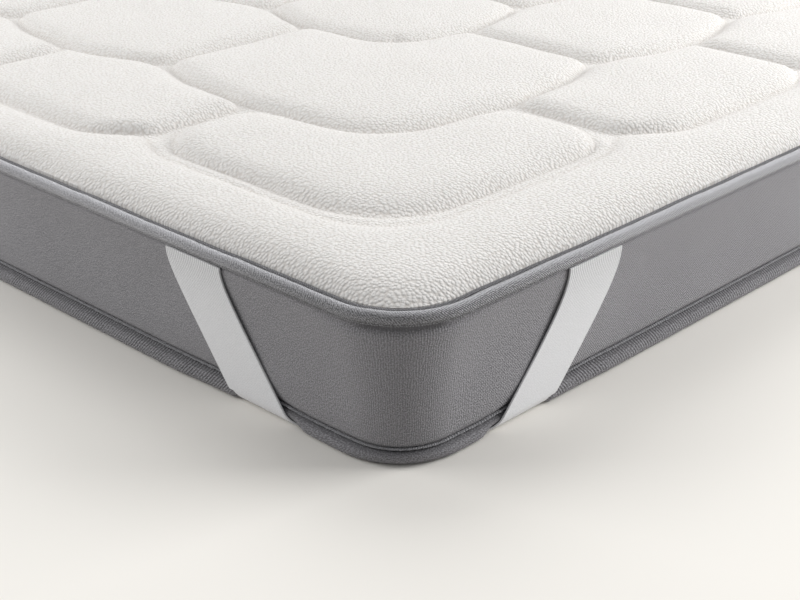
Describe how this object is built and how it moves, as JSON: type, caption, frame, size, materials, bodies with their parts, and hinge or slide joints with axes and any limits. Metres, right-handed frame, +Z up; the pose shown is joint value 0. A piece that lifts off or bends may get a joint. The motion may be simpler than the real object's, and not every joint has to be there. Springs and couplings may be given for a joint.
{
  "type": "mattress topper",
  "caption": "Quilted mattress topper with a white knitted top, grey side border, bound top edge and elastic corner straps.",
  "frame": {"origin": "the middle of the topper's footprint, on the surface that it lies on", "axes": "+Z up through the quilted top, +Y along the long side, +X along the short side; the corner shown in the picture points to -X and -Y"},
  "size_m": [0.9056, 2.0056, 0.0838],
  "materials": {
    "white_knit": "soft fleecy white knit, quilted",
    "grey_knit": "fine matte grey knit",
    "grey_base": "matte grey knit, lightly gathered at its edge",
    "grey_tape": "ribbed grey binding tape",
    "grey_piping": "thin grey seam lip",
    "white_elastic": "white ribbed elastic band"
  },
  "bodies": {
    "root": {"quilted_top": "white_knit", "border": "grey_knit", "base": "grey_base", "top_binding": "grey_tape", "seam_lip": "grey_piping", "strap_front_left": "white_elastic", "strap_front_right": "white_elastic", "strap_back_left": "white_elastic", "strap_back_right": "white_elastic"}
  },
  "joints": []
}
